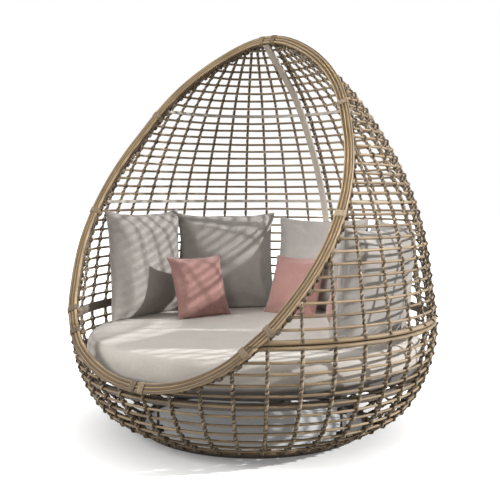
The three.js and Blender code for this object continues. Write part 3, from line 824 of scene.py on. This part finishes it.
edge_cords = Sweeps("rim_edge_cords")
seam_edge = rim_length_at(seam_height, edge_out, -edge_back)
for start, end in ((seam_edge + rim_joint, rim_length - seam_edge - rim_joint),
                   (-seam_edge + rim_joint, seam_edge - rim_joint)):
    frames = [rim_frame(s) for s in np.linspace(start, end, int((end - start) / edge_step))]
    places, outs, fronts = map(np.array, zip(*frames))
    twisted(edge_cords, places + outs * edge_out - fronts * edge_back, outs, fronts,
            cord_radius * 0.9, edge_pitch)
settle(edge_cords.build(cord_look), "rattan")

lashings = Sweeps("rim_lashings")
lash_section = hull_ring([(back_pole_out, -row_pitch, pole_radius + 3 * MM),
                          (edge_out, -edge_back, 2 * cord_radius + 2 * MM)], 16)


def nearest_on_rim(point):
    apart = np.linalg.norm(rim_path - point[None], axis=1)
    return rim_lengths[int(np.argmin(apart))]


lash_radius = 3.1 * MM


def lash(point, turns):
    """A cord wound round the back pole and the edge cords, where a rod or strand ends."""
    middle = nearest_on_rim(point)
    path = []
    for i in range(turns * len(lash_section) + 1):
        out_by, front_by = lash_section[i % len(lash_section)]
        share = i / len(lash_section) / turns - 0.5
        path.append(in_bundle(middle + share * turns * 2 * lash_radius, out_by, front_by))
    lashings.tube(np.array(path), lash_radius, 5, tone=rng.random())


for height, end in rod_ends:
    for angle in (end, -end):
        lash(on_circle(angle, radius_at(height), height), 3)
for angle, top in strand_ends:
    lash(on_circle(angle, radius_at(top), top), 2)
settle(lashings.build(cord_look), "rattan")

# Dark cord laced over the inner side of the two seam rings
lacing = Sweeps("seam_lacing")
lace_radius = 3.4 * MM
lace_pitch = 2.05 * lace_radius
lace_lean = 0.008
lace_reach = seam_ring_rise + seam_ring_radius * 0.9
lace_circle = radius_at(seam_height) - seam_ring_in - seam_ring_radius - lace_radius
lace_start = arc_angles(seam_height, lace_circle, rim_back + 4 * MM, 2)[0][0]
lace_count = int((2 * math.pi - 2 * lace_start) * lace_circle / lace_pitch)
lace_path = []
for index, angle in enumerate(np.linspace(lace_start, 2 * math.pi - lace_start, lace_count)):
    way = 1 if index % 2 else -1
    for share in (-1, -0.6, 0.6, 1):
        bulge = seam_ring_radius * (0.5 if abs(share) == 1 else 0)
        lace_path.append(on_circle(angle + lace_lean * share * way, lace_circle + bulge,
                                   seam_height + share * (lace_reach * way)))
lacing.tube(np.array(lace_path), lace_radius, 5, tone=0.1)
settle(lacing.build(lace_look), "rattan")

# Frame
bar_steps = 140


def bar(name, node, height, inset, depth, tall, behind, look):
    """A flat bar bent into a smooth ring or arc."""
    radius = radius_at(height) - inset
    angles, closed = arc_angles(height, radius, behind, bar_steps)
    rings = []
    edge = min(depth, tall) * 0.16
    corners = []
    for sx, sz in ((1, 1), (-1, 1), (-1, -1), (1, -1)):
        x, z = sx * depth / 2, sz * tall / 2
        first, second = (x - sx * edge, z), (x, z - sz * edge)
        corners.extend([second, first] if sx * sz > 0 else [first, second])
    for a in angles:
        centre = on_circle(a, radius, height)
        rings.append([centre + outward(a) * x + np.array([0, 0, z]) for x, z in corners])
    sweeps = Sweeps(name)
    sweeps.add_rings(np.array(rings), closed)
    settle(sweeps.build(look, smooth=False), "aluminium", node)


hoop_inset, hoop_depth, hoop_tall = 14.8 * MM, 14 * MM, 16 * MM
for name, height in (("lower_hoop", lower_hoop_height), ("upper_hoop", upper_hoop_height)):
    bar(name + "_bar", name, height, hoop_inset, hoop_depth, hoop_tall, rim_back - 4 * MM, coat_look)
platform_bar = 30 * MM
platform_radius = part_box("platform_ring")[1][0] - platform_bar / 2
platform_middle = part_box("platform_ring")[1][2] - platform_bar / 2
bar("platform_ring_bar", "platform_ring", platform_middle, radius_at(platform_middle) - platform_radius,
    platform_bar, platform_bar, -1, shaded_base_coat_look)
floor_tube = 12 * MM
floor_round = Sweeps("floor_ring_round")
add_ring(floor_round, floor_tube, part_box("floor_ring")[1][0] - floor_tube, floor_tube, 12, behind=-1)
settle(floor_round.build(shaded_base_coat_look), "aluminium", "floor_ring")

# The slats, legs, platform and floor ring get the darker coat with painted shade
node_looks = {"spine": coat_look, "slat": shaded_base_coat_look, "leg": shaded_base_coat_look, "foot": foot_look}
for name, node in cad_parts.items():
    look = next((look for start, look in node_looks.items() if name.startswith(start)), None)
    if look:
        node.data.materials.clear()
        node.data.materials.append(look)
        bevel = node.modifiers.new("soft_edges", "BEVEL")
        bevel.width = 1.5 * MM
        bevel.segments = 2


# Cushions
def mesh_object(name, points, faces, material):
    mesh = bpy.data.meshes.new(name)
    mesh.from_pydata([tuple(p) for p in points], [], faces)
    mesh.update()
    mesh.materials.append(material)
    return placed(bpy.data.objects.new(name, mesh))


def read_points(mesh):
    points = np.zeros(len(mesh.vertices) * 3, np.float32)
    mesh.vertices.foreach_get("co", points)
    return points.reshape(-1, 3).astype(float)


def write_points(mesh, points):
    mesh.vertices.foreach_set("co", points.astype(np.float32).ravel())


def finish_cover(piece, places):
    """Keeps where each point is on the flat cloth, and shades the cover smooth."""
    keep_places(piece.data, "cloth", places)
    piece.data.polygons.foreach_set("use_smooth", np.full(len(piece.data.polygons), True))


filling_pressure = 4
filling_frames = 20


def inflate(piece, cap, held=None):
    """Lets the cover fill out as cloth under pressure and keeps the result.

    No point goes further than cap.
    """
    before = read_points(piece.data)
    cloth = piece.modifiers.new("filling", "CLOTH")
    cloth.settings.quality = 6
    cloth.settings.mass = 0.25
    cloth.settings.tension_stiffness = 18
    cloth.settings.compression_stiffness = 18
    cloth.settings.shear_stiffness = 6
    cloth.settings.bending_stiffness = 0.3
    cloth.settings.use_pressure = True
    if held:
        cloth.settings.vertex_group_mass = held
    cloth.settings.uniform_pressure_force = filling_pressure
    cloth.settings.effector_weights.gravity = 0
    cloth.collision_settings.use_collision = False
    for moment in range(1, filling_frames + 1):
        bpy.context.scene.frame_set(moment)
    graph = bpy.context.evaluated_depsgraph_get()
    after = read_points(piece.evaluated_get(graph).data)
    piece.modifiers.remove(cloth)
    bpy.context.scene.frame_set(1)
    move = after - before
    far = np.linalg.norm(move, axis=1)
    move *= np.minimum(1, cap / np.maximum(far, 1e-9))[:, None]
    write_points(piece.data, before + move)
    piece.data.update()


def refine(piece, soothing):
    """Evens out the cover a little and subdivides it once, both applied."""
    smooth = piece.modifiers.new("soothed", "SMOOTH")
    smooth.factor = 0.5
    smooth.iterations = soothing
    division = piece.modifiers.new("finer", "SUBSURF")
    division.levels = 1
    graph = bpy.context.evaluated_depsgraph_get()
    finer = bpy.data.meshes.new_from_object(piece.evaluated_get(graph))
    piece.modifiers.clear()
    piece.data = finer


side_draw = 0.05
unfilled_share = 0.62
pillow_ripple = 0.0009
pillow_filling = 0.03
back_size = 0.574


def sewn_square(size, thickness):
    """Two square faces sewn together: points, faces, and the numbers of the seam's points in order."""
    cells = 48
    even = np.linspace(-1, 1, cells + 1)
    shares = np.sin(even * math.pi / 2) * 0.5 + even * 0.5
    unfilled = thickness * unfilled_share
    half = size / 2
    points, faces = [], []
    numbers = np.zeros((2, cells + 1, cells + 1), int)
    for side in (0, 1):
        for i, up in enumerate(shares):
            for j, across in enumerate(shares):
                if side and (i in (0, cells) or j in (0, cells)):
                    numbers[1, i, j] = numbers[0, i, j]
                    continue
                swell = ((1 - across**2) * (1 - up**2)) ** 0.4
                x = half * across * (1 - side_draw * (1 - up * up) * across * across)
                z = half * up * (1 - side_draw * (1 - across * across) * up * up)
                numbers[side, i, j] = len(points)
                points.append((x, (2 * side - 1) * unfilled * swell / 2, z))
    for side in (0, 1):
        for i in range(cells):
            for j in range(cells):
                quad = [numbers[side, i, j], numbers[side, i, j + 1],
                        numbers[side, i + 1, j + 1], numbers[side, i + 1, j]]
                faces.append([int(k) for k in (quad[::-1] if side else quad)])
    front = numbers[0]
    seam = [*front[0, :-1], *front[:-1, -1], *front[-1, :0:-1], *front[:0:-1, 0]]
    return np.array(points), faces, seam


def pillow(name, node, size, thickness, row, material, slot):
    """A square pillow blown up as cloth, in the place of its solid."""
    angle, turned, lean, wide, tall, back = row
    turn = np.array(Matrix.Rotation(math.radians(angle + turned) - math.pi, 3, "Z")
                    @ Matrix.Rotation(-math.radians(lean), 3, "X"))
    solid = read_points(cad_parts[node].data)
    middle = (solid.max(axis=0) + solid.min(axis=0)) / 2
    local = (solid - middle) @ turn
    middle = middle + turn @ ((local.max(axis=0) + local.min(axis=0)) / 2)
    points, faces, seam = sewn_square(size, thickness)
    piece = mesh_object(name, points, faces, material)
    write_points(piece.data, points + rng.normal(0, pillow_ripple, points.shape))
    inflate(piece, pillow_filling * size / back_size)
    refine(piece, 3)
    local = read_points(piece.data)
    low, high = local.min(axis=0), local.max(axis=0)
    local = (local - (high + low) / 2) / (high - low)
    local = local * np.array([size * wide, thickness, size * tall])
    local = local + np.array([0, 0, size * (tall - 1) / 2])
    sit(local, size / 2)
    middle = middle + outward(math.radians(angle)) * back
    cover = local @ turn.T + middle
    write_points(piece.data, cover)
    finish_cover(piece, local[:, [0, 2, 1]])
    settle(piece, slot, node)
    piping(name + "_piping", cover[seam], material, slot)


def sit(local, half):
    """Presses the lower edge of a pillow down, so that it rests along its whole length."""
    columns = np.linspace(-half, half, 25)
    floor_line = np.array([local[np.abs(local[:, 0] - x) < half / 12][:, 2].min() for x in columns])
    drop = -half - np.interp(local[:, 0], columns, floor_line)
    weight = np.clip(-local[:, 2] / half, 0, 1) ** 2
    local[:, 2] += drop * weight


piping_radius = 2.2 * MM


def piping(name, path, material, slot):
    """A thin round cord sewn in the seam."""
    seam = Sweeps(name)
    seam.tube(path - np.array([0, axis_y, 0]), piping_radius, 6, closed=True)
    cord = seam.build(material)
    keep_places(cord.data, "cloth", read_points(cord.data))
    settle(cord, slot)


# Each pillow's angle, turn and lean in degrees, and how far it is from its sewn size once filled: width,
# height, and metres further back
back_rows = [
    (270.5, -1, 3, 1.07, 1.045, 0.016), (226, -1, 8, 1.055, 1.01, 0), (179, 1, 11, 1.03, 0.97, 0),
    (129, 0, 4, 1.03, 0.97, 0), (83, 0, 8, 1.03, 0.96, 0),
]
scatter_rows = [(256, -6, 19, 0.97, 0.985, 0), (183, -5, 24, 0.97, 0.985, 0), (121, -2, 21, 0.97, 0.985, 0)]
for name, node, size, thickness, rows, look, slot, fill in (
    ("grey_pillow", "back_pillow", back_size, 0.18, back_rows, grey_look, "grey_fabric", 0.7),
    ("pink_pillow", "scatter_pillow", 0.358, 0.12, scatter_rows, pink_look, "pink_fabric", 0.75),
):
    for index, row in enumerate(rows, 1):
        pillow(f"{name}_{index}", f"{node}_{index}", size, thickness, row, look, slot)

cushion_edge = 0.05
cushion_crown = 0.009
cushion_ripple = 0.5 * MM
cushion_steps = 24
cushion_around = 128


def cushion_outline(radius, bottom, top):
    """From the underside over the rounded side to the crown, as (radius, height)."""
    flat = radius - cushion_edge
    middle, half = (bottom + top - cushion_crown) / 2, (top - cushion_crown - bottom) / 2
    rows = []
    for i in range(cushion_steps + 1):
        a = math.pi * (i / cushion_steps - 0.5)
        rows.append((flat + cushion_edge * max(math.cos(a), 0) ** 0.6, middle + half * math.sin(a)))
    for i in range(cushion_steps - 1, 0, -1):
        r = flat * i / cushion_steps
        rows.append((r, top - cushion_crown + cushion_crown * (1 - (r / flat) ** 2)))
    return rows


def seat_cushion():
    """The round cushion, blown up as cloth while its underside stays flat."""
    low, high = (Vector(v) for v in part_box("seat_cushion"))
    radius = (high.x - low.x) / 2
    bottom, top = low.z, high.z
    rows = cushion_outline(radius, bottom, top)
    around = cushion_around
    angles = [2 * math.pi * k / around for k in range(around)]
    points = [(r * math.cos(a), r * math.sin(a) + axis_y, z) for r, z in rows for a in angles]
    points += [(0, axis_y, bottom), (0, axis_y, top)]
    faces = []
    for i in range(len(rows) - 1):
        for k in range(around):
            n = (k + 1) % around
            faces.append([i * around + k, i * around + n, (i + 1) * around + n, (i + 1) * around + k])
    last = (len(rows) - 1) * around
    for k in range(around):
        n = (k + 1) % around
        faces.append([len(points) - 2, n, k])
        faces.append([len(points) - 1, last + k, last + n])
    piece = mesh_object("round_seat_cushion", points, faces, seat_look)
    write_points(piece.data, np.array(points) + rng.normal(0, cushion_ripple, (len(points), 3)))
    held = piece.vertex_groups.new(name="held")
    held.add([i for i, p in enumerate(points) if p[2] < bottom + 10 * MM], 1.0, "REPLACE")
    inflate(piece, cushion_crown, held="held")
    refine(piece, 2)
    filled = read_points(piece.data)
    spread = filled.max(axis=0) - filled.min(axis=0)
    filled = (filled - filled.min(axis=0)) / spread * np.array([2 * radius, 2 * radius, top - bottom])
    write_points(piece.data, filled + np.array([-radius, axis_y - radius, bottom]))
    finish_cover(piece, read_points(piece.data))
    settle(piece, "seat_fabric", "seat_cushion")


seat_cushion()

# Floor, light and camera
floor_half = 40


def floor():
    """A pale floor that glows for direct rays, more with the distance from the object: painted light that
    whitens the shadows further out, while the soft shadow near the object stays.
    """
    n = new_nodes("pale_floor")
    n.set(Roughness=0.9, Specular_IOR_Level=0.1)
    seen = n.direct_rays()
    n.link(n.mix(seen, (0.3, 0.29, 0.28), (0.86, 0.86, 0.86)), n.shader.inputs["Base Color"])
    place = n.split(n.add("ShaderNodeTexCoord").outputs["Object"])
    squares = n.plus(n.math("POWER", place[0], 2), n.math("POWER", place[1], 2))
    far = n.math("POWER", squares, 0.5)
    # Painted light: the glow grows from near the object outwards, over the shadows there
    painted_glow_outward = n.mapped(far, (0.5, 1.35), (0.12, 0.62), interpolation_type="SMOOTHSTEP")
    glow = n.add("ShaderNodeEmission")
    n.link(n.times(seen, painted_glow_outward), glow.inputs["Strength"])
    both = n.add("ShaderNodeAddShader")
    n.link(n.shader.outputs[0], both.inputs[0])
    n.link(glow.outputs[0], both.inputs[1])
    n.link(both.outputs[0], n.tree.nodes["Material Output"].inputs["Surface"])
    corners = [(x * floor_half, y * floor_half, 0) for x, y in ((-1, -1), (1, -1), (1, 1), (-1, 1))]
    mesh_object("studio_floor", corners, [[0, 1, 2, 3]], n.owner)


def daylight():
    """Soft light that grows towards the top, before a white background."""
    world = bpy.data.worlds.new("studio")
    bpy.context.scene.world = world
    n = Nodes(world)
    n.tree.nodes.clear()
    soft, white = n.add("ShaderNodeBackground"), n.add("ShaderNodeBackground")
    for node in (soft, white):
        node.inputs["Color"].default_value = (1, 1, 1, 1)
    white.inputs["Strength"].default_value = 1.0
    height = n.split(n.add("ShaderNodeTexCoord").outputs["Generated"])[2]
    n.link(n.mapped(height, (-0.1, 0.9), (0.16, 0.8)), soft.inputs["Strength"])
    mix = n.add("ShaderNodeMixShader")
    for source, socket in zip((n.direct_rays(), soft.outputs[0], white.outputs[0]), mix.inputs):
        n.link(source, socket)
    n.link(mix.outputs[0], n.add("ShaderNodeOutputWorld").inputs["Surface"])


def lamp(name, kind, place, target, energy, **settings):
    """A light at a place that shines on a target."""
    data = bpy.data.lights.new(name, kind)
    data.energy = energy
    if kind == "AREA":
        data.shape = "DISK"
    for key, value in settings.items():
        setattr(data, key, value)
    light = placed(bpy.data.objects.new(name, data))
    light.location = place
    light.rotation_euler = (Vector(target) - Vector(place)).to_track_quat("-Z", "Y").to_euler()


floor()
daylight()
lamp("key", "AREA", (-2.4, -4.0, 2.9), (0, 0, 0.7), 135, size=2.0)
sun_turn, sun_rise = math.radians(118), math.radians(25)
sun_way = Vector((
    math.cos(sun_rise) * math.sin(sun_turn),
    -math.cos(sun_rise) * math.cos(sun_turn),
    math.sin(sun_rise),
))
lamp("window_sun", "SUN", sun_way * 5, (0, 0, 0), 4.3, angle=math.radians(1.6))
lamp("front_fill", "AREA", (1.0, -3.6, 2.6), (0.4, 0.7, 0.8), 3.2, size=0.9, spread=math.radians(24))

# The camera stands where the photograph was taken; its focal length is in the photograph's pixels
photo_side = 500
focal_length = 774.4
sensor = 36
camera_place = (2.1615, -3.3893 + axis_y, 1.1848)
camera_data = bpy.data.cameras.new("camera")
camera_data.lens = focal_length / photo_side * sensor
camera_data.sensor_width = sensor
camera_data.clip_end = 200
camera = placed(bpy.data.objects.new("camera", camera_data))
turn, pitch = math.radians(32.808), math.radians(3.937)
forward = Vector((-math.sin(turn) * math.cos(pitch), math.cos(turn) * math.cos(pitch), -math.sin(pitch)))
right = Vector((math.cos(turn), math.sin(turn), 0))
up = right.cross(forward)
camera.matrix_world = Matrix((
    (right.x, up.x, -forward.x, camera_place[0]),
    (right.y, up.y, -forward.y, camera_place[1]),
    (right.z, up.z, -forward.z, camera_place[2]),
    (0, 0, 0, 1),
))
bpy.context.scene.camera = camera
bpy.context.scene.view_settings.view_transform = "Standard"
